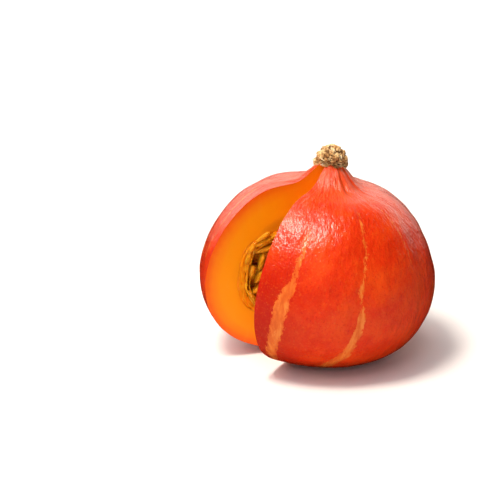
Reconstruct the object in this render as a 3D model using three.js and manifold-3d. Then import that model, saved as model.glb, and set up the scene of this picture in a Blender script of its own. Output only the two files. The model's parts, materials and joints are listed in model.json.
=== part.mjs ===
import * as THREE from "three";
import { mergeVertices } from "three/addons/utils/BufferGeometryUtils.js";
import Module from "manifold-3d";

// A red kuri squash, a kabocha type, with one wedge cut out of it from the stem to the blossom end.
// Its pieces are the grown body of skin and flesh with its seed hollow, the corky stem,
// and five lobes of stringy pulp that line the hollow, each with its seeds standing in it.
// Millimetres, +Z up. The origin is the centre of the flat spot that the squash rests on,
// and the wedge opens towards -Y.

// Driving dimensions. Heights are measured from the widest ring, along the core line.
const restHeight = 51.6; // widest ring's centre above the ground
const restSpot = { x: 7.6, y: 8.5 }; // centre of the flat spot from the core line, seen from above
const leanDegrees = 6;
const leanTowardsDegrees = 46.4;
const wedgeHalfDegrees = 19.4;
const wedgeTowardsDegrees = -90;
const skinProfile = [
  [0, -52.6], [11.2, -52.6], [23, -51.7], [35.8, -49.3], [49.3, -44.4], [61.8, -35.7], [70.8, -23],
  [75, -7.9], [74.1, 7.8], [69.2, 22.5], [61.6, 35.6], [53.6, 45], [43.9, 52.3], [35, 56],
  [26.9, 57.7], [21.5, 59.1], [17.6, 61.4], [13.8, 64.9], [9.7, 69.1], [5.1, 72.5], [0, 73.6],
];
const ribAzimuths = [-127, -91, -55.2, -19.2, 22.8, 56.8, 93, 129, 165, 201];
const ribGrooveDepth = 1.1;
const ribGrooveHalfDegrees = 7;
const hollow = { radius: 53, up: 30, down: 31, power: 3 };
const stemProfile = [
  [0, 74.1], [5.2, 73], [9.9, 69.5], [11.4, 67.9], [11.7, 69], [11.2, 70.6], [10.3, 72.4], [9.4, 74.3],
  [8.5, 76.3], [7.4, 78.3], [6.1, 80.2], [4.5, 81.8], [2.4, 82.7], [0, 83],
];
const stemFrontLift = 4.6; // how far the front of the stem's skirt stands back up the neck
const stemFrontDegrees = -48;
const stemFrontHalfDegrees = 145;
const pulp = { lobes: 5, thickness: 7.5, halfDegrees: 30.4, halfTiltDegrees: 58, gap: 1 };
const seed = { length: 18, width: 10.5, thickness: 3.8, rooted: 4.5 };
const strand = { radius: 0.8, perLobe: 3, reach: 10 };

const degrees = THREE.MathUtils.degToRad;

// Solids from closed meshes, and back.
const wasm = await Module();
wasm.setup();

function solidFrom(geometry) {
  const bare = geometry.index ? geometry.toNonIndexed() : geometry.clone();
  for (const name of Object.keys(bare.attributes)) {
    if (name !== "position") bare.deleteAttribute(name);
  }
  const merged = mergeVertices(bare, 1e-4);
  const made = new wasm.Manifold(
    new wasm.Mesh({
      numProp: 3,
      vertProperties: new Float32Array(merged.attributes.position.array),
      triVerts: new Uint32Array(merged.index.array),
    }),
  );
  return made;
}

function geometryFrom(solid) {
  const mesh = solid.getMesh();
  const geometry = new THREE.BufferGeometry();
  geometry.setAttribute("position", new THREE.BufferAttribute(mesh.vertProperties, 3));
  geometry.setIndex(new THREE.BufferAttribute(mesh.triVerts, 1));
  geometry.computeVertexNormals();
  return geometry;
}

function latheAboutZ(points, segments) {
  return new THREE.LatheGeometry(points, segments).rotateX(Math.PI / 2);
}

function moveEach(geometry, rule) {
  const position = geometry.attributes.position;
  const point = new THREE.Vector3();
  for (let i = 0; i < position.count; i += 1) {
    point.fromBufferAttribute(position, i);
    rule(point);
    position.setXYZ(i, point.x, point.y, point.z);
  }
  return geometry;
}

function seededDraws(start) {
  let state = start;
  return (low, high) => {
    state = (state * 1664525 + 1013904223) % 4294967296;
    return low + (high - low) * (state / 4294967296);
  };
}

// The smallest turn between two azimuths, in degrees.
function turnBetween(a, b) {
  return Math.abs(((((a - b) % 360) + 540) % 360) - 180);
}

// Skin: the lathe profile, fuller at the back, with a shallow groove along each of the ten ribs.
function skinScale(azimuth, tilt) {
  const spread = Math.cos(tilt) ** 2;
  const fuller = 0.023 * Math.cos(azimuth - degrees(134)) + 0.0105 * Math.cos(2 * (azimuth - degrees(118)));
  return 1 + spread * fuller;
}

function ribGroove(azimuth, tilt) {
  const drift = THREE.MathUtils.radToDeg(tilt) * 0.14;
  const shoulder = Math.exp(-(((tilt - degrees(38)) / degrees(42)) ** 2));
  return ribAzimuths.reduce((sum, rib) => {
    const away = turnBetween(THREE.MathUtils.radToDeg(azimuth), rib + drift) / ribGrooveHalfDegrees;
    return sum + ribGrooveDepth * shoulder * Math.exp(-away * away);
  }, 0);
}

function wholeFruit() {
  const outline = new THREE.SplineCurve(skinProfile.map(([r, z]) => new THREE.Vector2(r, z)));
  const points = outline.getPoints(30);
  points[0].x = 0;
  points[points.length - 1].x = 0;
  const lathe = latheAboutZ(points, 64);
  return solidFrom(
    moveEach(lathe, (point) => {
      const radius = Math.hypot(point.x, point.y);
      if (radius < 0.01) return;
      const azimuth = Math.atan2(point.y, point.x);
      const tilt = Math.atan2(point.z, radius);
      const scale = (radius * skinScale(azimuth, tilt) - ribGroove(azimuth, tilt)) / radius;
      point.x *= scale;
      point.y *= scale;
    }),
  );
}

// Seed hollow: a rounded drum about the core line.
function hollowReach(tilt) {
  const height = tilt > 0 ? hollow.up : hollow.down;
  const across = (Math.cos(tilt) / hollow.radius) ** hollow.power;
  const along = (Math.abs(Math.sin(tilt)) / height) ** hollow.power;
  return (across + along) ** (-1 / hollow.power);
}

function seedHollow() {
  const points = [];
  const steps = 18;
  for (let i = 0; i <= steps; i += 1) {
    const tilt = degrees(-90 + (180 * i) / steps);
    const reach = hollowReach(tilt);
    const onAxis = i === 0 || i === steps;
    points.push(new THREE.Vector2(onAxis ? 0 : reach * Math.cos(tilt), reach * Math.sin(tilt)));
  }
  return solidFrom(latheAboutZ(points, 40));
}

function wedge() {
  const reach = 130;
  const corner = new THREE.Shape();
  const [a, b] = [-wedgeHalfDegrees, wedgeHalfDegrees].map((turn) => degrees(wedgeTowardsDegrees + turn));
  corner.moveTo(0, 0);
  corner.lineTo(reach * Math.cos(a), reach * Math.sin(a));
  corner.lineTo(reach * Math.cos(b), reach * Math.sin(b));
  const prism = new THREE.ExtrudeGeometry(corner, { depth: 2 * reach, bevelEnabled: false });
  return solidFrom(prism.translate(0, 0, -reach));
}

// The squash's own frame leans, so the ground is put into that frame before it trims the base flat.
const fruit = new THREE.Group();
fruit.quaternion.setFromAxisAngle(
  new THREE.Vector3(-Math.sin(degrees(leanTowardsDegrees)), Math.cos(degrees(leanTowardsDegrees)), 0),
  degrees(leanDegrees),
);
fruit.position.set(-restSpot.x, -restSpot.y, restHeight);
fruit.updateMatrixWorld(true);

function ground() {
  const slab = new THREE.BoxGeometry(300, 300, 60).translate(0, 0, -30);
  return solidFrom(slab.applyMatrix4(fruit.matrixWorld.clone().invert()));
}

function squashBody() {
  const cut = wholeFruit().subtract(seedHollow()).subtract(wedge()).subtract(ground());
  return geometryFrom(cut);
}

// Stem: a corky knob whose underside follows the neck, with a lumpy skirt that stands back at the front.
function stemKnob() {
  const knob = latheAboutZ(stemProfile.map(([r, z]) => new THREE.Vector2(r, z)), 32);
  return moveEach(knob, (point) => {
    const radius = Math.hypot(point.x, point.y);
    if (radius < 0.01) return;
    const azimuth = Math.atan2(point.y, point.x);
    const away = Math.min(1, turnBetween(THREE.MathUtils.radToDeg(azimuth), stemFrontDegrees) / stemFrontHalfDegrees);
    const front = Math.cos((away * Math.PI) / 2) ** 2;
    const skirt = THREE.MathUtils.smoothstep(77 - point.z, 0, 8) * THREE.MathUtils.smoothstep(radius, 7, 11);
    const lift = stemFrontLift * front * skirt;
    const above = THREE.MathUtils.smoothstep(point.z, 69, 72) * THREE.MathUtils.smoothstep(radius, 4, 7);
    const ridges = 0.75 * Math.sin(5 * azimuth + 0.12 * point.z) + 0.35 * Math.sin(11 * azimuth - 0.9 * point.z);
    const ledges = 0.35 * Math.sin(1.5 * point.z + 2 * azimuth);
    const scale = (radius - 1.3 * lift + (ridges + ledges) * above) / radius;
    point.x *= scale;
    point.y *= scale;
    point.z += lift;
  });
}

// Pulp and seeds: a pad on the hollow's wall, with seeds rooted in it and strings looped across it.
function inHollow(azimuth, tilt, depth) {
  const reach = hollowReach(tilt) - depth;
  return new THREE.Vector3(
    reach * Math.cos(tilt) * Math.cos(azimuth),
    reach * Math.cos(tilt) * Math.sin(azimuth),
    reach * Math.sin(tilt),
  );
}

function pulpPad(middle) {
  const ball = new THREE.SphereGeometry(1, 16, 8).rotateX(Math.PI / 2);
  return moveEach(ball, (point) => {
    const edge = Math.max(Math.abs(point.x), Math.abs(point.y)) || 1;
    const squarer = 1 + 0.75 * (Math.hypot(point.x, point.y) / edge - 1);
    const azimuth = middle - degrees(pulp.halfDegrees) * Math.min(1, Math.max(-1, point.x * squarer));
    const tilt = degrees(pulp.halfTiltDegrees) * point.y * squarer;
    const depth = pulp.gap + pulp.thickness * (point.z > 0 ? 0.2 + 0.8 * point.z : 0.2 * (1 + point.z));
    point.copy(inHollow(azimuth, tilt, depth));
  });
}

function seedShape() {
  const ball = new THREE.SphereGeometry(1, 6, 4).rotateZ(Math.PI / 2);
  return moveEach(ball, (point) => {
    const taper = 1 - 0.3 * ((1 - point.x) / 2) ** 2;
    point.set(
      (point.x * seed.length) / 2,
      (point.y * taper * seed.width) / 2,
      (point.z * taper * seed.thickness) / 2,
    );
  });
}

// Four sheets of seeds a lobe stand like pages, and each seed points from the wall to the middle.
const seedSheets = [
  { turn: -21, tilts: [-26, 2, 28] },
  { turn: -7, tilts: [-38, -12, 14, 40] },
  { turn: 7, tilts: [-40, -14, 12, 38] },
  { turn: 21, tilts: [-28, -2, 26] },
];

function placedSeed(azimuth, tilt, twist, sway) {
  const root = inHollow(azimuth, tilt, pulp.gap + pulp.thickness - seed.rooted);
  const inward = root.clone().negate().normalize();
  const around = new THREE.Vector3(-Math.sin(azimuth), Math.cos(azimuth), 0);
  const along = new THREE.Vector3().crossVectors(around, inward).normalize();
  inward.addScaledVector(along, sway).normalize();
  along.crossVectors(around, inward).applyAxisAngle(inward, twist).normalize();
  const flat = new THREE.Vector3().crossVectors(inward, along);
  const centre = root.addScaledVector(inward, seed.length / 2);
  return seedShape().applyMatrix4(new THREE.Matrix4().makeBasis(inward, along, flat).setPosition(centre));
}

function pulpString(points) {
  const sides = 4;
  const section = new THREE.Shape();
  for (let i = 0; i < sides; i += 1) {
    const turn = (2 * Math.PI * i) / sides;
    const step = i === 0 ? "moveTo" : "lineTo";
    section[step](strand.radius * Math.cos(turn), strand.radius * Math.sin(turn));
  }
  return new THREE.ExtrudeGeometry(section, { steps: 6, extrudePath: new THREE.CatmullRomCurve3(points) });
}

function seedLobe(index) {
  const share = (360 - 2 * wedgeHalfDegrees) / pulp.lobes;
  const middle = wedgeTowardsDegrees + wedgeHalfDegrees + share * (index + 0.5);
  const draw = seededDraws(1000 + index);
  let lobe = solidFrom(pulpPad(degrees(middle)));
  for (const { turn, tilts } of seedSheets) {
    for (const tilt of tilts) {
      const azimuth = degrees(middle + turn + draw(-2, 2));
      const twist = draw(-0.35, 0.35);
      const sway = draw(-0.25, 0.25);
      lobe = lobe.add(solidFrom(placedSeed(azimuth, degrees(tilt + draw(-3, 3)), twist, sway)));
    }
  }
  for (let i = 0; i < strand.perLobe; i += 1) {
    const turn = middle + draw(-14, 14);
    const tilt = -24 + 24 * i + draw(-4, 4);
    const bow = strand.reach * draw(0.6, 1);
    const ends = pulp.gap + pulp.thickness * 0.6;
    const route = [
      inHollow(degrees(turn - 9), degrees(tilt - 8), ends),
      inHollow(degrees(turn - 5), degrees(tilt - 5), ends + bow * 0.8),
      inHollow(degrees(turn), degrees(tilt), ends + bow),
      inHollow(degrees(turn + 6), degrees(tilt + 5), ends + bow * 0.7),
      inHollow(degrees(turn + 10), degrees(tilt + 8), ends),
    ];
    lobe = lobe.add(solidFrom(pulpString(route)));
  }
  return geometryFrom(lobe);
}

// Finishes.
const skinFinish = new THREE.MeshStandardMaterial({ color: "#dc3f17", roughness: 0.4, metalness: 0 });
const stemFinish = new THREE.MeshStandardMaterial({ color: "#b08d57", roughness: 0.95, metalness: 0 });
const pulpFinish = new THREE.MeshStandardMaterial({ color: "#d98a1c", roughness: 0.5, metalness: 0 });

function addPiece(name, geometry, material) {
  const mesh = new THREE.Mesh(geometry, material);
  mesh.name = name;
  fruit.add(mesh);
}

addPiece("squash_body", squashBody(), skinFinish);
addPiece("stem", stemKnob(), stemFinish);
for (let i = 0; i < pulp.lobes; i += 1) {
  addPiece(`seed_lobe_${i + 1}`, seedLobe(i), pulpFinish);
}

const squash = new THREE.Group();
squash.add(fruit);

export default squash;
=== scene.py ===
import json
import math

import bpy
import numpy as np
from mathutils import Matrix, Vector, noise

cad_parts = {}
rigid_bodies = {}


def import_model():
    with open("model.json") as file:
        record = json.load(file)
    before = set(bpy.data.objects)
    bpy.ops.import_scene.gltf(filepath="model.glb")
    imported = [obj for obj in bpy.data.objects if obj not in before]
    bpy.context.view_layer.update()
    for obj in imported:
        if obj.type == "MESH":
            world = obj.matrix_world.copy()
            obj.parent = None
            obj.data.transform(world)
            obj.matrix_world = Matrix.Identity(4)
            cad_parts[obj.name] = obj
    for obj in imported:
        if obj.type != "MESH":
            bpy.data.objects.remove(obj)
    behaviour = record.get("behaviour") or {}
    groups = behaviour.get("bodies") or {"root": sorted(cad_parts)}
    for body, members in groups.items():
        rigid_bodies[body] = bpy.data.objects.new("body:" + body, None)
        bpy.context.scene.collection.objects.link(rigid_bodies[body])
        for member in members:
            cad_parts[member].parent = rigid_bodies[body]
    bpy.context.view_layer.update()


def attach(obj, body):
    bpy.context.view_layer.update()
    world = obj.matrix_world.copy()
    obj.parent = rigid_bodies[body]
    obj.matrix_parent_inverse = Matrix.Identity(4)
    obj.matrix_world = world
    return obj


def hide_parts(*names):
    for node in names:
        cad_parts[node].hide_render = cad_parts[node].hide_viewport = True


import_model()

mm = 0.001
noise.seed_set(7)  # the swirl in the cork is drawn by chance, so its start is fixed

# The fruit's own frame: its core line leans, and its widest ring stands above the ground.
fruit = {
    "restHeight": 51.6,
    "restSpot": (7.6, 8.5),
    "leanDegrees": 6,
    "leanTowards": 46.4,
    "wedgeHalf": 19.4,
    "wedgeTowards": -90,
}
leanAxis = Vector(
    (-math.sin(math.radians(fruit["leanTowards"])), math.cos(math.radians(fruit["leanTowards"])), 0)
)
leanTurn = Matrix.Rotation(math.radians(fruit["leanDegrees"]), 3, leanAxis)
fruitCentre = Vector((-fruit["restSpot"][0], -fruit["restSpot"][1], fruit["restHeight"]))


def smooth(value, low, high):
    t = np.clip((value - low) / (high - low), 0, 1)
    return t * t * (3 - 2 * t)


def turnBetween(a, b):
    return np.abs((a - b + 540) % 360 - 180)


def splinePoints(points, each):
    # a smooth curve through the points, with each pair joined by this many steps
    laid = []
    for i in range(len(points) - 1):
        before, here = points[max(0, i - 1)], points[i]
        there, after = points[i + 1], points[min(len(points) - 1, i + 2)]
        for j in range(each):
            t = j / each
            at = []
            for a in range(2):
                leave, arrive = (there[a] - before[a]) / 2, (after[a] - here[a]) / 2
                cubic = 2 * here[a] - 2 * there[a] + leave + arrive
                square = -3 * here[a] + 3 * there[a] - 2 * leave - arrive
                at.append(cubic * t**3 + square * t * t + leave * t + here[a])
            laid.append(at)
    laid.append(list(points[-1]))
    return np.array(laid, dtype=float)


def seededDraws(start):
    # the same draws as the solids use, so each seed stands where its solid does
    state = [start]

    def draw(low, high):
        state[0] = (state[0] * 1664525 + 1013904223) % 4294967296
        return low + (high - low) * (state[0] / 4294967296)

    return draw


def clearSelection():
    if bpy.context.object and bpy.context.object.mode != "OBJECT":
        bpy.ops.object.mode_set(mode="OBJECT")
    bpy.ops.object.select_all(action="DESELECT")


def nameIt(name):
    piece = bpy.context.object
    piece.name = name
    piece.data.name = name
    return piece


def readPoints(piece):
    points = np.empty(len(piece.data.vertices) * 3)
    piece.data.vertices.foreach_get("co", points)
    return points.reshape(-1, 3)


def writePoints(piece, points):
    piece.data.vertices.foreach_set("co", np.ascontiguousarray(points, dtype=float).ravel())
    piece.data.update()


def standUp(points):
    # from the fruit's own frame in millimetres to the ground's frame in metres
    return (points @ np.array(leanTurn).T + np.array(fruitCentre)) * mm


def aroundCore(radius, azimuth, height):
    return np.stack([radius * np.cos(azimuth), radius * np.sin(azimuth), height], 1)


def copyShape(shape, name, points):
    # a copy with its own mesh, its points given in the fruit's own frame
    copied = shape.copy()
    copied.data = shape.data.copy()
    copied.name = name
    bpy.context.collection.objects.link(copied)
    writePoints(copied, standUp(points))
    return copied


def keepValue(piece, name, values):
    layer = piece.data.attributes.new(name, "FLOAT", "POINT")
    layer.data.foreach_set("value", np.ascontiguousarray(values, dtype=np.float32))


def shadeSmoothly(piece, degrees=40):
    clearSelection()
    piece.select_set(True)
    bpy.context.view_layer.objects.active = piece
    bpy.ops.object.shade_smooth_by_angle(angle=math.radians(degrees))


def joinPieces(pieces, name):
    clearSelection()
    for piece in pieces:
        piece.select_set(True)
    bpy.context.view_layer.objects.active = pieces[0]
    if len(pieces) > 1:
        bpy.ops.object.join()
    return nameIt(name)


# Materials. Each is a small set of nodes around one shader.


class Finish:
    def __init__(self, name, roughness, **sockets):
        self.material = bpy.data.materials.new(name)
        self.material.use_nodes = True
        self.tree = self.material.node_tree
        self.shader = self.tree.nodes["Principled BSDF"]
        self.shader.inputs["Roughness"].default_value = roughness
        for socket, value in sockets.items():
            self.shader.inputs[socket.replace("_", " ")].default_value = value
        self.place = self.node("ShaderNodeTexCoord").outputs["Object"]

    def node(self, kind, **settings):
        made = self.tree.nodes.new(kind)
        for key, value in settings.items():
            setattr(made, key, value)
        return made

    def feed(self, socket, value):
        if isinstance(value, bpy.types.NodeSocket):
            self.tree.links.new(value, socket)
        else:
            socket.default_value = value

    def noise(self, scale, detail=4, roughness=0.6, stretch=None, distortion=0, place=None):
        at = place or self.place
        if stretch:
            mapping = self.node("ShaderNodeMapping")
            self.feed(mapping.inputs["Vector"], at)
            mapping.inputs["Scale"].default_value = stretch
            at = mapping.outputs["Vector"]
        made = self.node("ShaderNodeTexNoise")
        self.feed(made.inputs["Vector"], at)
        made.inputs["Scale"].default_value = scale
        made.inputs["Detail"].default_value = detail
        made.inputs["Roughness"].default_value = roughness
        made.inputs["Distortion"].default_value = distortion
        return made.outputs["Fac"]

    def cells(self, scale, feature="F1", place=None):
        made = self.node("ShaderNodeTexVoronoi", feature=feature)
        self.feed(made.inputs["Vector"], place or self.place)
        made.inputs["Scale"].default_value = scale
        return made.outputs["Distance"]

    def value(self, name):
        return self.node("ShaderNodeAttribute", attribute_name=name).outputs["Fac"]

    def maths(self, operation, first, second=0.0, third=0.0):
        made = self.node("ShaderNodeMath", operation=operation)
        for socket, value in zip(made.inputs, (first, second, third)):
            self.feed(socket, value)
        return made.outputs["Value"]

    def spread(self, value, low, high, outLow=0.0, outHigh=1.0):
        made = self.node("ShaderNodeMapRange", interpolation_type="SMOOTHSTEP")
        for socket, number in zip(made.inputs, (value, low, high, outLow, outHigh)):
            self.feed(socket, number)
        return made.outputs["Result"]

    def ramp(self, value, stops):
        made = self.node("ShaderNodeValToRGB")
        self.feed(made.inputs["Fac"], value)
        bar = made.color_ramp.elements
        while len(bar) < len(stops):
            bar.new(0.5)
        for element, (place, colour) in zip(bar, stops):
            element.position = place
            element.color = (*colour, 1)
        return made.outputs["Color"]

    def mix(self, share, first, second, how="MIX"):
        # a Mix node's colours go in at sockets 6 and 7 and come out at 2
        made = self.node("ShaderNodeMix", data_type="RGBA", blend_type=how)
        self.feed(made.inputs["Factor"], share)
        for socket, colour in ((made.inputs[6], first), (made.inputs[7], second)):
            self.feed(socket, colour if isinstance(colour, bpy.types.NodeSocket) else (*colour, 1))
        return made.outputs[2]

    def relief(self, *layers):
        # bumps laid one over another: (height, strength, distance in millimetres)
        normal = None
        for height, strength, distance in layers:
            bump = self.node("ShaderNodeBump")
            self.feed(bump.inputs["Height"], height)
            bump.inputs["Strength"].default_value = strength
            bump.inputs["Distance"].default_value = distance * mm
            if normal:
                self.feed(bump.inputs["Normal"], normal)
            normal = bump.outputs["Normal"]
        self.feed(self.shader.inputs["Normal"], normal)
        self.feed(self.shader.inputs["Coat Normal"], normal)

    def colour(self, value):
        self.feed(self.shader.inputs["Base Color"], value)

    def letLightIn(self, weight, reach):
        # light that travels below the surface: its share, and its reach in metres by colour
        self.shader.inputs["Subsurface Weight"].default_value = weight
        self.shader.inputs["Subsurface Radius"].default_value = reach


skinColours = {
    "deepest": (0.46, 0.006, 0.0008),
    "deep": (0.64, 0.020, 0.0012),
    "red": (0.76, 0.032, 0.002),
    "light": (0.87, 0.075, 0.005),
    "stripe": (0.84, 0.175, 0.022),
    "stripeDark": (0.74, 0.120, 0.014),
    "stripePale": (0.92, 0.270, 0.045),
    "bloom": (0.88, 0.125, 0.024),
}


def skinFinish():
    look = Finish("waxySkin", 0.36, Coat_Weight=1.0, Coat_Roughness=0.16, Coat_IOR=1.6)
    look.shader.inputs["Specular IOR Level"].default_value = 0.08
    wrap = look.node("ShaderNodeAttribute", attribute_name="wrap").outputs["Vector"]

    def drawnOut(scale, detail, roughness, upward):
        # noise that follows the skin, longer from stem to blossom end than round it
        return look.noise(scale, detail, roughness, stretch=(1.0, 1.0, upward), place=wrap)

    patches = look.noise(55, 5, 0.6)
    blotches = look.noise(210, 4, 0.6, place=wrap)
    flecks = look.noise(760, 3, 0.7, place=wrap)
    skin = look.ramp(
        look.spread(patches, 0.1, 0.9),
        [(0.0, skinColours["deep"]), (0.42, skinColours["red"]), (1.0, skinColours["light"])],
    )
    skin = look.mix(look.spread(blotches, 0.5, 0.75, 0, 0.4), skin, skinColours["light"])
    skin = look.mix(look.spread(blotches, 0.44, 0.28, 0, 0.35), skin, skinColours["deep"])
    # painted shade: the skin low down beside the cut is darkened towards the deepest red
    skin = look.mix(look.value("paintedCutShade"), skin, skinColours["deepest"])
    skin = look.mix(look.spread(flecks, 0.55, 0.70, 0, 0.5), skin, skinColours["stripeDark"])
    skin = look.mix(look.spread(flecks, 0.44, 0.30, 0, 0.5), skin, skinColours["deepest"])
    streaks = look.spread(drawnOut(520, 4, 0.65, 0.22), 0.4, 0.68)
    skin = look.mix(look.maths("MULTIPLY", streaks, look.value("neck")), skin, skinColours["bloom"])

    # the stripe's edge is torn by noise, and red flecks stand inside it
    torn = look.maths("MULTIPLY_ADD", drawnOut(560, 6, 0.8, 0.5), 10.5, -5.25)
    inside = look.spread(look.maths("ADD", look.value("stripe"), torn), -0.25, 0.45)
    holes = look.spread(drawnOut(560, 4, 0.65, 0.4), 0.60, 0.70, 1, 0.35)
    inside = look.maths("MULTIPLY", inside, holes)
    stripe = look.ramp(
        look.spread(drawnOut(300, 4, 0.6, 0.3), 0.33, 0.67),
        [
            (0.0, skinColours["stripeDark"]),
            (0.5, skinColours["stripe"]),
            (1.0, skinColours["stripePale"]),
        ],
    )
    look.colour(look.mix(look.maths("MULTIPLY", inside, 0.85), skin, stripe))

    sheen = look.spread(look.noise(160, 4, 0.7), 0.3, 0.7, 0.36, 0.5)
    look.feed(look.shader.inputs["Roughness"], sheen)
    look.relief(
        (look.noise(120, 4, 0.55), 0.5, 1.3),
        (drawnOut(300, 4, 0.6, 0.6), 0.8, 1.0),
        (look.noise(700, 3, 0.6), 0.5, 0.35),
        (inside, 0.2, 0.1),
    )
    return look.material


fleshColours = {
    # from the skin, at 0, to the hollow, at 1
    "throughWall": [
        (0.0, (0.90, 0.130, 0.002)),
        (0.1, (0.95, 0.240, 0.002)),
        (0.35, (0.96, 0.320, 0.001)),
        (0.75, (0.96, 0.340, 0.001)),
        (0.92, (0.94, 0.330, 0.002)),
        (1.0, (0.74, 0.250, 0.003)),
    ],
    # painted shade: the flesh near the stem is redder and darker where the stem shades it
    "neck": (0.96, 0.270, 0.002),
    "threads": (0.95, 0.36, 0.02),
    "underSkin": (0.82, 0.070, 0.003),
    "wall": 25,
}


def fleshFinish():
    look = Finish("cutFlesh", 0.45, Specular_IOR_Level=0.25)
    look.letLightIn(0.12, (0.006, 0.002, 0.0006))
    depth = look.value("belowSkin")
    wander = look.maths("MULTIPLY_ADD", look.noise(160, 4, 0.6), 2.4, -1.2)
    through = look.spread(look.maths("ADD", depth, wander), 0, fleshColours["wall"])
    flesh = look.ramp(through, fleshColours["throughWall"])
    # painted shade under the stem on the cut face
    flesh = look.mix(look.maths("MULTIPLY", look.value("neck"), 0.7), flesh, fleshColours["neck"])
    thread = look.noise(90, 5, 0.7, stretch=(3.0, 3.0, 0.7), distortion=0.4)
    flesh = look.mix(look.spread(thread, 0.52, 0.76, 0, 0.3), flesh, fleshColours["threads"])
    look.colour(look.mix(look.spread(depth, 0.7, 0.1, 0, 0.8), flesh, fleshColours["underSkin"]))
    look.relief((look.noise(240, 4, 0.6), 0.35, 0.3), (look.noise(900, 2, 0.5), 0.3, 0.1))
    return look.material


hollowColours = [(0.0, (0.66, 0.17, 0.004)), (0.5, (0.90, 0.28, 0.006)), (1.0, (0.96, 0.42, 0.03))]


def hollowFinish():
    look = Finish("hollowWall", 0.45, Coat_Weight=0.2, Coat_Roughness=0.3)
    look.letLightIn(0.15, (0.008, 0.003, 0.0008))
    thread = look.noise(90, 5, 0.7, stretch=(1.0, 1.0, 3.0), distortion=0.6)
    look.colour(look.ramp(look.spread(thread, 0.3, 0.7), hollowColours))
    look.relief((thread, 0.8, 1.2), (look.noise(500, 3, 0.6), 0.4, 0.3))
    return look.material


pulpColours = {
    "threads": [
        (0.0, (0.66, 0.200, 0.003)),
        (0.5, (0.90, 0.360, 0.006)),
        (1.0, (0.97, 0.56, 0.03)),
    ],
    "nearWall": (0.95, 0.320, 0.002),
}


def pulpFinish():
    look = Finish("wetPulp", 0.3, Coat_Weight=0.3, Coat_Roughness=0.2)
    look.letLightIn(0.3, (0.006, 0.0025, 0.0008))
    thread = look.noise(140, 5, 0.7, distortion=1.2)
    amber = look.ramp(look.spread(thread, 0.3, 0.7), pulpColours["threads"])
    # the pulp takes the flesh's colour where it grows out of the wall
    ragged = look.maths("MULTIPLY_ADD", thread, 5.0, -2.5)
    nearWall = look.spread(look.maths("ADD", look.value("inward"), ragged), 5.5, 0.5, 0, 0.9)
    look.colour(look.mix(nearWall, amber, pulpColours["nearWall"]))
    look.relief((thread, 0.6, 0.8), (look.noise(620, 3, 0.6), 0.3, 0.25))
    return look.material


seedColours = {
    "face": [(0.0, (0.84, 0.32, 0.004)), (0.5, (0.96, 0.47, 0.010)), (1.0, (1.0, 0.64, 0.05))],
    "rim": (0.74, 0.28, 0.005),
    "fibre": (0.62, 0.19, 0.003),
}


def seedFinish():
    look = Finish("seedCoat", 0.4, Coat_Weight=0.25, Coat_Roughness=0.2, Specular_IOR_Level=0.2)
    look.letLightIn(0.25, (0.003, 0.002, 0.001))
    cloud = look.noise(160, 4, 0.6)
    face = look.ramp(look.spread(cloud, 0.3, 0.7), seedColours["face"])
    face = look.mix(look.spread(look.value("rim"), 0.55, 0.95, 0, 0.6), face, seedColours["rim"])
    # fibres of pulp that cling along the seed
    grain = look.maths("MULTIPLY_ADD", cloud, 9.0, look.value("fibre"))
    grain = look.maths("SINE", look.maths("MULTIPLY", grain, 3.2))
    look.colour(look.mix(look.spread(grain, 0.2, -0.9, 0, 0.5), face, seedColours["fibre"]))
    look.relief((grain, 0.6, 0.5), (look.noise(420, 3, 0.6), 0.3, 0.2))
    return look.material


corkColours = {
    "bark": [
        (0.0, (0.32, 0.13, 0.035)),
        (0.35, (0.66, 0.36, 0.13)),
        (0.7, (0.90, 0.62, 0.30)),
        (1.0, (1.0, 0.86, 0.60)),
    ],
    # dark in the cracks: the cork's own darker colour there and painted shade
    "crackTintAndShade": (0.11, 0.038, 0.009),
    "pit": (0.10, 0.05, 0.025),
}


def stemFinish():
    look = Finish("driedCork", 0.9)
    grain = look.noise(260, 5, 0.7, stretch=(1.0, 1.0, 0.55))
    pits = look.cells(420)
    bark = look.ramp(look.spread(grain, 0.3, 0.72), corkColours["bark"])
    # the cracks darkened: partly the cork's own colour, partly painted shade
    bark = look.mix(look.spread(look.value("crackTintAndShade"), 0.1, 0.85), bark, corkColours["crackTintAndShade"])
    bark = look.mix(look.spread(pits, 0.16, 0.05, 0, 0.6), bark, corkColours["pit"])
    look.colour(bark)
    look.relief((grain, 0.9, 0.9), (pits, 0.4, 0.3), (look.noise(900, 3, 0.6), 0.5, 0.25))
    return look.material


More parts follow.
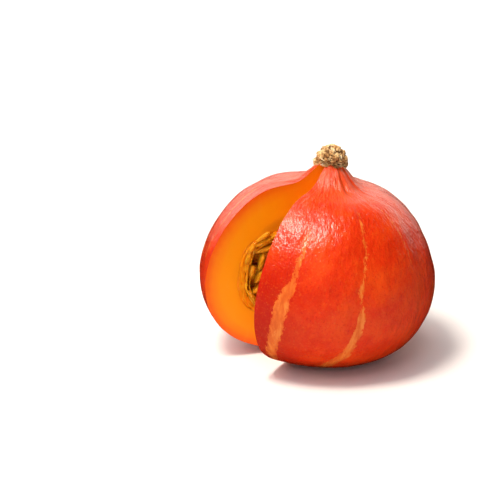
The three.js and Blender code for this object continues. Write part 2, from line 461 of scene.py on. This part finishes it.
# Body: one section of the wall is spun round the core line, short of the wedge, then shaped.
body = {
    "profile": [
        (0, -52.6), (11.2, -52.6), (23, -51.7), (35.8, -49.3), (49.3, -44.4), (61.8, -35.7),
        (70.8, -23), (75, -7.9), (74.1, 7.8), (69.2, 22.5), (61.6, 35.6), (53.6, 45), (43.9, 52.3),
        (35, 56), (26.9, 57.7), (21.5, 59.1), (17.6, 61.4), (13.8, 64.9), (9.7, 69.1), (5.1, 72.5),
        (0, 73.6),
    ],
    # how much fuller it is on one side and across: share of the radius, and azimuth
    "fullerSide": (0.023, 134),
    "fullerAcross": (0.0105, 118),
    "hollowRadius": 53,
    "hollowUp": 30,
    "hollowDown": 31,
    "hollowPower": 3,
    # the blank that is spun: its radii in metres and its steps
    "blankInner": 0.04,
    "blankOuter": 0.075,
    "turnSteps": 262,
    "lowRows": 108,
    "neckRows": 42,
    "neckFrom": 62,
    "wallRows": [0, 0.3, 0.9, 2, 4, 7, 10.5, 14, 17.5, 20.5, 22.2],
    "trueDepth": 4.0,
    # grooves between the ribs, deepest at the shoulder: tilt and reach in degrees
    "grooveDepth": 1.1,
    "grooveHalf": 7,
    "grooveDrift": 0.14,
    "shoulderTilt": 38,
    "shoulderReach": 42,
    # dents and wrinkles: how close they stand, and how deep they are
    "broadDents": (0.045, 0.5),
    "smallDents": (0.11, 0.22),
    "wrinkles": (14, 5, 0.16),
    "pleatDepth": 0.5,
    "pleats": 26,
    # strength of the painted shade low down beside the cut
    "paintedCutShade": 0.8,
}

# Where the ribs run, and the pale stripes beside them, each point as its tilt above the widest
# ring, its azimuth and the stripe's width in millimetres.
ribs = [-127, -91, -55.2, -19.2, 22.8, 56.8, 93, 129, 165, 201]
stripes = [
    [
        (40, -51.5, 0), (35, -51.8, 2.3), (28, -52.2, 2.7), (19, -53.8, 3.0), (13.5, -54.0, 3.2),
        (11, -54.9, 4.7), (8.6, -55.5, 7.8), (3.6, -57.2, 7.6), (-1, -57.8, 9.1),
        (-11.6, -59, 8.3), (-18, -60.5, 7.3), (-26, -62.6, 6.5), (-35, -64.4, 5.6), (-50, -67, 3),
    ],
    [
        (54, -14.5, 0), (44, -15.4, 1.4), (37, -16.6, 1.2), (30, -15.9, 1.5), (23.5, -17.5, 1.1),
        (15, -19.2, 1.2), (12.2, -20.4, 3.6), (9.5, -20.4, 3.4), (7.3, -20.1, 1.2),
        (4, -19.8, 0.5), (2, -19, 1.9), (-1, -19.3, 5.2), (-4.6, -19.4, 5), (-9.8, -20.2, 5.8),
        (-15.6, -21.8, 5.4), (-19, -22.5, 6), (-23, -23.2, 7.6), (-27, -25.9, 8),
        (-33, -29.6, 7.9), (-48, -34, 4), (-60, -36, 0),
    ],
    [(53, 10.4, 0), (49, 10.8, 0.9), (38, 12.2, 0.9), (25, 13.6, 0.5), (12, 15, 0)],
    [(9, 36, 0), (4, 36, 0.9), (-14, 35.8, 1.2), (-19, 33.2, 1.1), (-28, 31, 0)],
    [(8, 41, 0), (4, 41.5, 3.6), (-3, 42, 4), (-9, 42, 0)],
    [
        (4, -116.5, 0), (12, -117.2, 2.2), (25, -118, 2.6), (33, -120.8, 2.2), (44, -123, 1.4),
        (50, -124, 0),
    ],
    [
        (48, 62, 0), (30, 59, 2.2), (14, 57, 4.2), (0, 56, 6.8), (-20, 53, 7.4), (-40, 48, 5),
        (-58, 44, 0),
    ],
    [
        (50, 98, 0), (34, 96, 1.2), (18, 94, 1.6), (12, 93, 3.6), (6, 93, 0.6), (-2, 92, 5),
        (-24, 89, 7), (-44, 84, 4), (-58, 80, 0),
    ],
    [
        (44, 133, 0), (28, 131, 2.6), (8, 129, 7.4), (-8, 128, 8.6), (-28, 124, 6.4),
        (-50, 119, 0),
    ],
    [
        (52, 169, 0), (36, 167, 1.4), (16, 165, 2.8), (2, 164, 1.2), (-8, 163, 5.4),
        (-30, 159, 6.8), (-52, 154, 0),
    ],
    [
        (46, 206, 0), (30, 204, 2.4), (12, 201, 6.2), (-6, 199, 8), (-26, 196, 6.6),
        (-46, 191, 0),
    ],
    [(20, -128, 0), (6, -128.5, 3.6), (-12, -130, 6), (-30, -133, 5.6), (-50, -137, 0)],
]
outsideStripe = -50


def hollowReach(tilt):
    height = np.where(tilt > 0, body["hollowUp"], body["hollowDown"])
    across = (np.cos(tilt) / body["hollowRadius"]) ** body["hollowPower"]
    along = (np.abs(np.sin(tilt)) / height) ** body["hollowPower"]
    return (across + along) ** (-1 / body["hollowPower"])


profileLine = splinePoints(body["profile"], 24)
profileTilt = np.arctan2(profileLine[:, 1], profileLine[:, 0])
profileReach = np.hypot(profileLine[:, 0], profileLine[:, 1])


def ribGroove(azimuth, tilt):
    drift = np.degrees(tilt) * body["grooveDrift"]
    fromShoulder = tilt - math.radians(body["shoulderTilt"])
    shoulder = np.exp(-((fromShoulder / math.radians(body["shoulderReach"])) ** 2))
    depth = 0
    for rib in ribs:
        away = turnBetween(np.degrees(azimuth), rib + drift) / body["grooveHalf"]
        depth = depth + body["grooveDepth"] * shoulder * np.exp(-away * away)
    return depth


def stripeField(azimuth, tilt, radius):
    # millimetres inside the nearest stripe's edge, negative outside
    tiltDegrees = np.degrees(tilt)
    field = np.full(len(azimuth), float(outsideStripe))
    for stripe in stripes:
        places, middles, widths = zip(*sorted(stripe))
        half = np.interp(tiltDegrees, places, widths, left=-8, right=-8) / 2
        middle = np.interp(tiltDegrees, places, middles)
        away = np.radians(turnBetween(np.degrees(azimuth), middle)) * radius
        field = np.maximum(field, np.where(half > 0.05, half - away, outsideStripe))
    return field


def skinPoint(azimuth, tilt):
    # the skin in the fruit's frame, in millimetres
    reach = np.interp(tilt, profileTilt, profileReach)
    radius, height = reach * np.cos(tilt), reach * np.sin(tilt)
    (side, sideAt), (across, acrossAt) = body["fullerSide"], body["fullerAcross"]
    fuller = side * np.cos(azimuth - math.radians(sideAt))
    fuller = fuller + across * np.cos(2 * (azimuth - math.radians(acrossAt)))
    groove = np.minimum(ribGroove(azimuth, tilt), radius * 0.2)
    return radius * (1 + np.cos(tilt) ** 2 * fuller) - groove, height


def onGround(points):
    # pulls what would sink below the ground back towards the fruit's centre
    down = points @ np.array(leanTurn).T[:, 2]
    share = np.where(down < -fruit["restHeight"], -fruit["restHeight"] / np.minimum(down, -1), 1)
    return points * share[:, None]


def spinWall():
    clearSelection()
    wallRows = body["wallRows"]
    lastRow = len(wallRows) - 1
    rows = body["lowRows"] + body["neckRows"]
    bpy.ops.mesh.primitive_grid_add(x_subdivisions=lastRow, y_subdivisions=rows, size=1)
    piece = nameIt("squashBody")
    flat = readPoints(piece)
    # wall rows run from the skin to the hollow, and crowd near the skin
    column = (flat[:, 0] + 0.5) * lastRow
    share = 1 - np.interp(column, range(lastRow + 1), wallRows) / wallRows[-1]
    row = (flat[:, 1] + 0.5) * rows
    tilt = np.radians(np.interp(row, [0, body["lowRows"], rows], [-90, body["neckFrom"], 90]))
    start = math.radians(fruit["wedgeTowards"] + fruit["wedgeHalf"])
    reach = body["blankInner"] + (body["blankOuter"] - body["blankInner"]) * share
    onCore = np.abs(tilt) > math.radians(89.999)
    across = np.where(onCore, 0, reach * np.cos(tilt))
    laid = [across * math.cos(start), across * math.sin(start), reach * np.sin(tilt)]
    writePoints(piece, np.stack(laid, 1))
    bpy.ops.object.mode_set(mode="EDIT")
    bpy.ops.mesh.select_all(action="SELECT")
    whole = math.radians(360 - 2 * fruit["wedgeHalf"])
    bpy.ops.mesh.spin(steps=body["turnSteps"], angle=-whole, center=(0, 0, 0), axis=(0, 0, 1))
    bpy.ops.mesh.select_all(action="SELECT")
    bpy.ops.mesh.remove_doubles(threshold=0.000001)
    bpy.ops.mesh.normals_make_consistent(inside=False)
    bpy.ops.object.mode_set(mode="OBJECT")
    return piece


def skinFolds(azimuth, tilt, radius, height, share):
    # pleats below the stem, and shallow dents and wrinkles between the ribs
    (broad, broadDeep), (small, smallDeep) = body["broadDents"], body["smallDents"]
    roundWrinkles, upWrinkles, wrinkleDeep = body["wrinkles"]
    folds = np.zeros(len(share))
    for i in np.nonzero(share > 0.5)[0]:
        east, north = math.cos(azimuth[i]) * radius[i], math.sin(azimuth[i]) * radius[i]
        way = Vector((east, north, height[i]))
        dents = noise.noise(way * broad) * broadDeep + noise.noise(way * small) * smallDeep
        wrinkle = noise.noise(Vector((azimuth[i] * roundWrinkles, tilt[i] * upWrinkles, 3)))
        folds[i] = dents + wrinkle * wrinkleDeep
    neck = smooth(np.degrees(tilt), 48, 70) * smooth(radius, 3, 9)
    pleat = np.sin(azimuth * body["pleats"] / 2 + 1.3 * np.sin(azimuth * 3))
    pleat = pleat + 0.6 * np.sin(azimuth * body["pleats"] + 2)
    pleat = pleat * body["pleatDepth"] * neck * smooth(-radius, -34, -14)
    return folds * smooth(radius, 6, 16) + pleat


def makeBody():
    piece = spinWall()
    points = readPoints(piece)
    azimuth = np.arctan2(points[:, 1], points[:, 0])
    tilt = np.arctan2(points[:, 2], np.hypot(points[:, 0], points[:, 1]))
    blank = body["blankOuter"] - body["blankInner"]
    share = (np.linalg.norm(points, axis=1) - body["blankInner"]) / blank
    radius, height = skinPoint(azimuth, tilt)
    folds = skinFolds(azimuth, tilt, radius, height, share)
    radius = radius + folds * np.cos(tilt)
    height = height + folds * np.sin(tilt) * 0.5

    skin = onGround(aroundCore(radius, azimuth, height))
    wall = hollowReach(tilt)
    hollow = aroundCore(wall * np.cos(tilt), azimuth, wall * np.sin(tilt))
    # the first rows keep their true depth below the skin, and the rest share the wall
    deepest, near = body["wallRows"][-1], body["trueDepth"]
    depth = (1 - share) * deepest
    thickness = np.linalg.norm(skin - hollow, axis=1)
    shared = near + (depth - near) * (thickness - near) / (deepest - near)
    true = np.where(depth <= near, depth, shared)
    placed = skin + (hollow - skin) * (true / thickness)[:, None]
    writePoints(piece, standUp(placed))

    # what the skin and flesh finishes read
    keepValue(piece, "belowSkin", true)
    keepValue(piece, "stripe", stripeField(azimuth, tilt, radius))
    keepValue(piece, "neck", smooth(np.degrees(tilt), 45, 78))
    # painted shade: the skin is darkened low down, strongest near the cut's edge
    pastCut = turnBetween(np.degrees(azimuth), fruit["wedgeTowards"] + fruit["wedgeHalf"])
    paintedCutShade = body["paintedCutShade"] * smooth(-pastCut, -34, -4) * smooth(-np.degrees(tilt), -34, -6)
    keepValue(piece, "paintedCutShade", paintedCutShade)
    wrap = piece.data.attributes.new("wrap", "FLOAT_VECTOR", "POINT")
    wrapped = np.stack([np.cos(azimuth), np.sin(azimuth), tilt], 1) * 75 * mm
    wrap.data.foreach_set("vector", wrapped.ravel().astype(np.float32))

    for material in (skinFinish(), fleshFinish(), hollowFinish()):
        piece.data.materials.append(material)
    skinAt = true < 0.01
    wallAt = share < 0.001
    for face in piece.data.polygons:
        ends = list(face.vertices)
        if all(skinAt[v] for v in ends):
            face.material_index = 0
        elif all(wallAt[v] for v in ends):
            face.material_index = 2
        else:
            face.material_index = 1
    shadeSmoothly(piece, 50)
    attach(piece, "root")
    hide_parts("squash_body")
    print("body: spun wall with", len(piece.data.polygons), "faces")


# Stem: a corky knob that sits on the neck.
stem = {
    "profile": [
        (0, 73.4), (5.2, 72.3), (9.9, 68.9), (11.3, 67.5), (11.7, 69), (11.2, 70.6), (10.3, 72.4),
        (9.4, 74.3), (8.5, 76.3), (7.4, 78.3), (6.1, 80.2), (4.5, 81.8), (2.4, 82.7), (0, 83),
    ],
    # the skirt stands higher in front, and higher still over the cut
    "frontLift": 4.6,
    "frontTowards": -34,
    "frontHalf": 145,
    "notch": 2.6,
    "notchTowards": -96,
    "notchHalf": 20,
    "ridges": 0.75,
    "fineRidges": 0.35,
    "ledges": 0.35,
    "knobs": 2.0,
    "corkFrom": 68.2,
    "corkFade": 67.5,
}


def billow(x, y, z):
    # round lumps with sharp cracks between them: 0 in a crack, 1 on a lump
    return min(1, abs(noise.noise(Vector((x, y, z)))) * 2.6)


def growCork(points, height, lift):
    # lumps stand out and cracks run in between them; the cracks are marked dark, partly the cork's
    # own darker colour and partly painted shade in them
    crackTintAndShade = np.zeros(len(points))
    moved = points.copy()
    for i, point in enumerate(points):
        if height[i] < stem["corkFrom"] + lift[i]:
            continue
        at = Vector(point)
        swirl = at + noise.noise_vector(at * 0.3) * 2
        layered = 0.42 + 0.6 * float(smooth(76 - point[2], 0, 6))
        lump = billow(swirl.x * 0.28, swirl.y * 0.28, swirl.z * layered)
        knot = billow(swirl.x * 0.62 + 40, swirl.y * 0.62, swirl.z * 0.95)
        out = stem["knobs"] * (0.56 * lump**0.7 + 0.36 * knot**0.8 - 0.5)
        out = out + noise.noise(at * 1.6) * 0.25
        crackTintAndShade[i] = max(1 - lump / 0.45, 0.9 - knot / 0.4, 0)
        way = Vector((point[0], point[1], (point[2] - 74) * 0.9)).normalized()
        grown = np.clip((height[i] - stem["corkFade"] - lift[i]) / 1.5, 0, 1)
        moved[i] = at + way * out * float(grown)
    return moved, crackTintAndShade


def makeStem():
    clearSelection()
    bpy.ops.mesh.primitive_uv_sphere_add(segments=144, ring_count=110, radius=1)
    piece = nameIt("corkyStem")
    ball = readPoints(piece)
    azimuth = np.arctan2(ball[:, 1], ball[:, 0])
    line = splinePoints(stem["profile"], 12)
    steps = np.concatenate([[0], np.cumsum(np.linalg.norm(np.diff(line, axis=0), axis=1))])
    along = np.degrees(np.arcsin(np.clip(ball[:, 2], -1, 1))) / 180 + 0.5
    radius = np.interp(along * steps[-1], steps, line[:, 0])
    height = np.interp(along * steps[-1], steps, line[:, 1])
    turned = np.degrees(azimuth)
    away = np.minimum(1, turnBetween(turned, stem["frontTowards"]) / stem["frontHalf"])
    front = np.cos(away * math.pi / 2) ** 2
    notch = np.exp(-((turnBetween(turned, stem["notchTowards"]) / stem["notchHalf"]) ** 2))
    skirt = smooth(77 - height, 0, 8) * smooth(radius, 7, 11)
    lift = (stem["frontLift"] * front + stem["notch"] * notch) * skirt
    above = smooth(height, 68.5, 71) * smooth(radius, 2, 6)
    ridges = stem["ridges"] * np.sin(5 * azimuth + 0.12 * height)
    ridges = ridges + stem["fineRidges"] * np.sin(11 * azimuth - 0.9 * height)
    ledges = stem["ledges"] * np.sin(1.5 * height + 2 * azimuth)
    radius = radius - 1.3 * lift * (radius > 0.5) + (ridges + ledges) * above
    height = height + lift
    moved, crackTintAndShade = growCork(aroundCore(radius, azimuth, height), height, lift)
    writePoints(piece, standUp(moved))
    keepValue(piece, "crackTintAndShade", crackTintAndShade)
    piece.data.materials.append(stemFinish())
    shadeSmoothly(piece, 60)
    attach(piece, "root")
    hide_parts("stem")
    print("stem: cork knob with", len(piece.data.polygons), "faces")


# Pulp and seeds: the same lobes, sheets and draws as the solids.
lobe = {
    "count": 5,
    "thickness": 7.5,
    "halfDegrees": 30.4,
    "halfTilt": 58,
    "gap": -1.3,
    "solidGap": 1.0,
    # the pad: how square it is, what lies below the pulp, and how far it laps its neighbours
    "squareness": 0.75,
    "below": 1.6,
    "back": 0.2,
    "roundness": 0.32,
    "lap": 0.6,
    "lapAtCut": 1.5,
    "strings": 130,
    "cutStrings": 44,
    "stringThick": 0.58,
}
seed = {"length": 18.6, "width": 10.8, "thickness": 3.9, "solidLength": 18, "rooted": 4.5}
seedSheets = [
    (-21, [-26, 2, 28]),
    (-7, [-38, -12, 14, 40]),
    (7, [-40, -14, 12, 38]),
    (21, [-28, -2, 26]),
]
# Seeds the knife went through, flush with the cut: radius, height, heading in degrees, and
# length in millimetres.
cutSeeds = [
    (39.5, 23.4, 142, 11), (38.6, 20.2, 150, 12), (36.0, 15.8, 160, 15), (46.2, 15.6, 116, 8),
    (47.6, 9.6, 106, 8), (38.4, 7.4, 98, 12), (38.8, -2.6, 118, 10), (38.6, -10.6, 134, 9),
    (31.0, 24.6, 152, 9), (44.0, 1.0, 96, 8), (41.6, -17.5, 62, 10), (31.5, -23.5, 28, 9),
]
cutSeedProud = 0.4


def inHollow(azimuth, tilt, depth):
    reach = float(hollowReach(np.array(tilt))) - depth
    return Vector(
        (
            reach * math.cos(tilt) * math.cos(azimuth),
            reach * math.cos(tilt) * math.sin(azimuth),
            reach * math.sin(tilt),
        )
    )


def makeSeedShape():
    # one seed, modelled once: a flat drop with a raised rim
    clearSelection()
    onSide = (0, math.pi / 2, 0)
    bpy.ops.mesh.primitive_uv_sphere_add(segments=24, ring_count=14, radius=1, rotation=onSide)
    bpy.ops.object.transform_apply(location=True, rotation=True, scale=True)
    piece = nameIt("seedShape")
    ball = readPoints(piece)
    taper = 1 - 0.34 * ((1 - ball[:, 0]) / 2) ** 2
    out = np.hypot(ball[:, 0], ball[:, 1])
    insideRim = 1 - 0.12 * np.exp(-(((out - 0.78) / 0.08) ** 2))
    plump = np.sign(ball[:, 2]) * np.abs(ball[:, 2]) ** 0.8 * insideRim
    shaped = [
        ball[:, 0] * seed["length"] / 2,
        ball[:, 1] * taper * seed["width"] / 2,
        plump * taper * seed["thickness"] / 2,
    ]
    writePoints(piece, np.stack(shaped, 1))
    keepValue(piece, "rim", out)
    keepValue(piece, "fibre", ball[:, 1] * 5)
    return piece


def seedPlace(azimuth, tilt, twist, sway):
    root = inHollow(azimuth, tilt, lobe["solidGap"] + lobe["thickness"] - seed["rooted"])
    inward = (-root).normalized()
    around = Vector((-math.sin(azimuth), math.cos(azimuth), 0))
    along = around.cross(inward).normalized()
    inward = (inward + along * sway).normalized()
    along = around.cross(inward)
    along.rotate(Matrix.Rotation(twist, 3, inward))
    along.normalize()
    place = Matrix((inward, along, inward.cross(along))).transposed().to_4x4()
    place.translation = root + inward * (seed["solidLength"] / 2)
    return place


def placeSeed(shape, place, name):
    turned = readPoints(shape) @ np.array(place.to_3x3()).T + np.array(place.translation)
    return copyShape(shape, name, turned)


def placeCutSeed(shape, side, spot, name):
    radius, height, heading, length = spot
    turn = math.radians(fruit["wedgeTowards"] - side * fruit["wedgeHalf"])
    outward = Vector((math.cos(turn), math.sin(turn), 0))
    facing = Vector((0, 0, 1)).cross(outward) * side
    heading = math.radians(heading)
    along = outward * math.cos(heading) + Vector((0, 0, math.sin(heading)))
    points = readPoints(shape) * (length / seed["length"], 1, 0.9)
    out = np.where(points[:, 1] > 0, points[:, 1] * cutSeedProud, points[:, 1])
    laid = np.array(outward * radius + Vector((0, 0, height)))
    laid = laid + points[:, :1] * np.array(along) + out[:, None] * np.array(facing)
    laid = laid + points[:, 2:] * np.array(along.cross(facing))
    return copyShape(shape, name, laid)


def makeString():
    # one straight string, extruded from a ring, to be laid along each route
    clearSelection()
    bpy.ops.mesh.primitive_circle_add(vertices=5, radius=1, fill_type="NGON")
    piece = nameIt("stringShape")
    bpy.ops.object.mode_set(mode="EDIT")
    for _ in range(10):
        bpy.ops.mesh.extrude_region_move(TRANSFORM_OT_translate={"value": (0, 0, 0.1)})
    bpy.ops.mesh.select_all(action="SELECT")
    bpy.ops.mesh.normals_make_consistent(inside=False)
    bpy.ops.object.mode_set(mode="OBJECT")
    return piece


def layString(shape, route, thick, name):
    # the route is rounded, and the string's rings are laid square to it
    points = readPoints(shape)
    share = np.clip(points[:, 2], 0, 1)
    route = np.array(route)
    knots = np.linspace(0, 1, len(route))
    fine = np.linspace(0, 1, 60)
    curve = np.stack([np.interp(fine, knots, route[:, a]) for a in range(3)], 1)
    for _ in range(24):
        curve[1:-1] = (curve[:-2] + curve[1:-1] * 2 + curve[2:]) / 4
    middle = np.stack([np.interp(share, fine, curve[:, a]) for a in range(3)], 1)
    heading = np.gradient(curve, axis=0)
    heading /= np.linalg.norm(heading, axis=1)[:, None]
    ahead = np.stack([np.interp(share, fine, heading[:, a]) for a in range(3)], 1)
    side = np.cross(ahead, (0.31, 0.52, 0.79))
    side /= np.linalg.norm(side, axis=1)[:, None]
    over = np.cross(ahead, side)
    width = thick * (0.65 + 0.5 * np.abs(share - 0.5) * 2)
    laid = middle + side * (points[:, 0] * width)[:, None] + over * (points[:, 1] * width)[:, None]
    return copyShape(shape, name, laid)


def makeSeeds(index, middle, side, draw, shape, look):
    seeds = []
    tips = []
    for turn, tilts in seedSheets:
        for tilt in tilts:
            azimuth = math.radians(middle + turn + draw(-2, 2))
            twist, sway = draw(-0.35, 0.35), draw(-0.25, 0.25)
            place = seedPlace(azimuth, math.radians(tilt + draw(-3, 3)), twist, sway)
            seeds.append(placeSeed(shape, place, f"seed{index}_{len(seeds)}"))
            tips.append(place @ Vector((seed["length"] * 0.35, 0, 0)))
    if side:
        for spot in cutSeeds:
            seeds.append(placeCutSeed(shape, side, spot, f"cutSeed{index}_{spot[0]}"))
    piece = joinPieces(seeds, f"seeds_{index + 1}")
    piece.data.materials.append(look)
    shadeSmoothly(piece, 60)
    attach(piece, "root")
    return tips


def makePad(index, middle):
    # the pad of pulp on the wall: a ball drawn out square, its lower half flat on the wall
    clearSelection()
    bpy.ops.mesh.primitive_uv_sphere_add(segments=72, ring_count=44, radius=1)
    pad = nameIt(f"pad_{index + 1}")
    ball = readPoints(pad)
    edge = np.maximum(np.abs(ball[:, 0]), np.abs(ball[:, 1]))
    edge = np.where(edge < 1e-6, 1, edge)
    squarer = 1 + lobe["squareness"] * (np.hypot(ball[:, 0], ball[:, 1]) / edge - 1)
    across = np.clip(ball[:, 0] * squarer, -1, 1)
    first, last = index == 0, index == lobe["count"] - 1
    reachLow = lobe["halfDegrees"] + (lobe["lapAtCut"] if first else lobe["lap"])
    reachHigh = lobe["halfDegrees"] + (lobe["lapAtCut"] if last else lobe["lap"])
    azimuth = np.radians(middle - across * np.where(across > 0, reachLow, reachHigh))
    tilt = math.radians(lobe["halfTilt"]) * ball[:, 1] * squarer
    plump = np.abs(ball[:, 2]) ** lobe["roundness"]
    back = lobe["back"]
    through = np.where(ball[:, 2] > 0, back + (1 - back) * plump, back - back * plump)
    depth = lobe["gap"] + (lobe["thickness"] + lobe["below"]) * through
    laid = []
    for a, t, d, z in zip(azimuth, tilt, depth, ball[:, 2]):
        rough = 0
        if z > 0.02:
            at = Vector((a * 9, t * 9, index * 3))
            rough = noise.noise(at) * 1.6 + noise.noise(at * 2.6) * 0.9 + noise.noise(at * 6) * 0.4
            rough = rough * min(1, z * 2)
        laid.append(inHollow(a, t, d + rough))
    writePoints(pad, standUp(np.array(laid)))
    return pad


def makeStrings(index, middle, draw, tips, shape):
    # strings from the wall to the seeds, and every third one from seed to seed
    strings = []
    for i in range(lobe["strings"]):
        turn = math.radians(middle + draw(-26, 26))
        tilt = math.radians(draw(-48, 48))
        start = inHollow(turn, tilt, lobe["gap"] + lobe["thickness"] * 0.5)
        first = tips[int(draw(0, len(tips) - 0.01))]
        if i % 3 == 0:
            nearest = sorted(tips, key=lambda tip: (tip - first).length)
            end = nearest[1 + int(draw(0, 2.99))]
            start = first
        else:
            end = sorted(tips, key=lambda tip: (tip - start).length)[int(draw(0, 1.99))]
        sag = Vector((draw(-2, 2), draw(-2, 2), draw(-3, 1)))
        route = [start, start.lerp(end, 0.35) + sag, start.lerp(end, 0.7) + sag * 0.7, end]
        thick = lobe["stringThick"] * draw(0.6, 1.4)
        strings.append(layString(shape, route, thick, f"string{index}_{i}"))
    return strings


def makeCutStrings(index, cutDegrees, side, draw, shape):
    # strings that lie along the cut, round the edge of the hollow
    strings = []
    for i in range(lobe["cutStrings"]):
        turn = math.radians(cutDegrees - side * draw(-0.1, 1.6))
        low, long = draw(-62, 40), draw(14, 34)
        sunk = draw(0, 1) ** 1.5 * 9 - 0.5
        route = []
        for k in range(6):
            route.append(inHollow(turn, math.radians(low + long * k / 5), sunk + draw(-0.9, 0.9)))
        thick = lobe["stringThick"] * draw(0.6, 1.5)
        strings.append(layString(shape, route, thick, f"cutString{index}_{i}"))
    return strings


def makeLobe(index, seedShape, stringShape, pulpLook, seedLook):
    share = (360 - 2 * fruit["wedgeHalf"]) / lobe["count"]
    middle = fruit["wedgeTowards"] + fruit["wedgeHalf"] + share * (index + 0.5)
    # only the first and the last lobe have a side on the cut
    side = {0: -1, lobe["count"] - 1: 1}.get(index, 0)
    draw = seededDraws(1000 + index)
    tips = makeSeeds(index, middle, side, draw, seedShape, seedLook)
    parts = [makePad(index, middle)]
    parts += makeStrings(index, middle, draw, tips, stringShape)
    if side:
        parts += makeCutStrings(index, middle + side * share / 2, side, draw, stringShape)
    piece = joinPieces(parts, f"pulp_{index + 1}")
    inside = (readPoints(piece) / mm - np.array(fruitCentre)) @ np.array(leanTurn)
    outwards = np.linalg.norm(inside, axis=1)
    keepValue(piece, "inward", hollowReach(np.arcsin(inside[:, 2] / outwards)) - outwards)
    piece.data.materials.append(pulpLook)
    shadeSmoothly(piece, 60)
    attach(piece, "root")
    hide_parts(f"seed_lobe_{index + 1}")


def makeLobes():
    seedShape, stringShape = makeSeedShape(), makeString()
    pulpLook, seedLook = pulpFinish(), seedFinish()
    for index in range(lobe["count"]):
        makeLobe(index, seedShape, stringShape, pulpLook, seedLook)
    for shape in (seedShape, stringShape):
        bpy.data.objects.remove(shape)
    print("hollow:", lobe["count"], "lobes of pulp with their seeds")


# Floor, light and camera. The camera's distance and shifts are in millimetres.
studio = {
    "viewDegrees": 51.8,
    "viewHeight": 18,
    "distance": 1000,
    "aside": 48.88,
    "above": -20.11,
    "lens": 118.5,
    "sensor": 36,
    "floorRadius": 6,
    "aim": (0, 0, 0.06),
    "air": 0.12,
}
warm = (1.0, 0.90, 0.78)
# Each light's place as the camera sees it: right, up and towards the camera, in metres.
lights = [
    ("sky", (-0.8, 2, 0.5), {"power": 1.5, "spread": 75, "glossy": False}),
    ("softboxTop", (-0.4, 1.2, 0.28), {"power": 14, "size": 0.32, "height": 0.38, "tint": warm}),
    ("backdrop", (0.1, 0.5, -1.7), {"power": 14, "size": 3.4, "height": 0.9, "tint": warm}),
    ("softboxBehind", (-0.6, 1.1, -0.6), {"power": 4, "size": 0.8, "tint": warm}),
    ("frontFill", (0.0, 0.6, 1.4), {"power": 2.6, "size": 0.7, "glossy": False}),
]


def makeFloor():
    clearSelection()
    bpy.ops.mesh.primitive_circle_add(
        vertices=96, radius=studio["floorRadius"], fill_type="NGON", location=(0, 0, 0)
    )
    floor = nameIt("floor")
    look = Finish("paleFloor", 0.6, Specular_IOR_Level=0.1)
    look.shader.inputs["Base Color"].default_value = (0.95, 0.95, 0.95, 1)
    floor.data.materials.append(look.material)
    floor.visible_glossy = False


def makeLight(
    name, place, power, size=None, height=None, spread=None, glossy=True, tint=(1, 1, 1)
):
    # with a size in metres it is a softbox, without one a sun with a spread in degrees
    bpy.ops.object.light_add(type="AREA" if size else "SUN", location=place)
    light = bpy.context.object
    light.name = name
    light.data.energy = power
    light.data.color = tint
    if size:
        light.data.shape = "RECTANGLE"
        light.data.size = size
        light.data.size_y = height or size
    else:
        light.data.angle = math.radians(spread)
    light.visible_glossy = glossy
    light.visible_camera = False
    towards = Vector(studio["aim"]) - Vector(place)
    light.rotation_euler = towards.to_track_quat("-Z", "Y").to_euler()


def makeStudio():
    turn, height = math.radians(studio["viewDegrees"]), math.radians(studio["viewHeight"])
    right = Vector((math.cos(turn), math.sin(turn), 0))
    level = Vector((-math.sin(turn), math.cos(turn), 0))
    ahead = level * math.cos(height) - Vector((0, 0, math.sin(height)))
    up = level * math.sin(height) + Vector((0, 0, math.cos(height)))
    place = fruitCentre - right * studio["aside"] - up * studio["above"]
    place = place - ahead * studio["distance"]
    bpy.ops.object.camera_add(location=place * mm)
    camera = bpy.context.object
    camera.name = "camera"
    camera.matrix_world = Matrix((right, up, -ahead)).transposed().to_4x4()
    camera.matrix_world.translation = place * mm
    camera.data.lens = studio["lens"]
    camera.data.sensor_width = studio["sensor"]
    camera.data.clip_start = 0.01
    bpy.context.scene.camera = camera

    for name, (across, high, near), settings in lights:
        spot = right * across + Vector((0, 0, high)) - level * near
        makeLight(name, spot, **settings)
    world = bpy.data.worlds.new("studioAir")
    world.use_nodes = True
    air = world.node_tree.nodes["Background"]
    air.inputs["Color"].default_value = (1, 1, 1, 1)
    air.inputs["Strength"].default_value = studio["air"]
    world.cycles_visibility.glossy = False
    bpy.context.scene.world = world
    bpy.context.scene.view_settings.view_transform = "Standard"
    print("studio: floor, lights and camera")


makeBody()
makeStem()
makeLobes()
makeFloor()
makeStudio()
